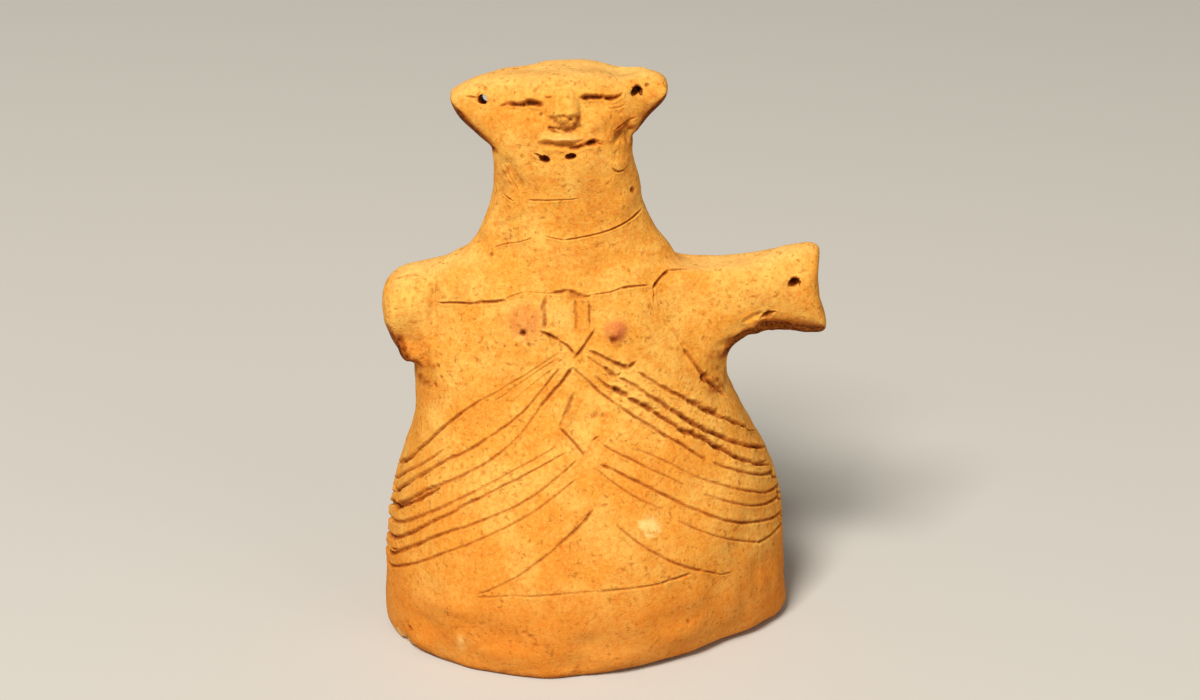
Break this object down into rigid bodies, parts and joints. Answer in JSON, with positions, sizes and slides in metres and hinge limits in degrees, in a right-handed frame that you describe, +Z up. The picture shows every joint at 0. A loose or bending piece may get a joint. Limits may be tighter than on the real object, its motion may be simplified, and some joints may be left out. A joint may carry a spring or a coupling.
{
  "type": "anthropomorphic female clay figurine",
  "caption": "Hand-modelled fired clay figurine of a woman with a bell-shaped skirt, outstretched arm stub and hand, pierced ears and incised dress folds.",
  "frame": {"origin": "on the flat underside, under the middle of the base", "axes": "+Z up through the head, -Y the way the figurine faces, +X towards the arm that is whole"},
  "size_m": [0.1182, 0.0815, 0.1539],
  "materials": {
    "fired_clay": "matte"
  },
  "bodies": {
    "root": {"figurine": "fired_clay"}
  },
  "joints": []
}
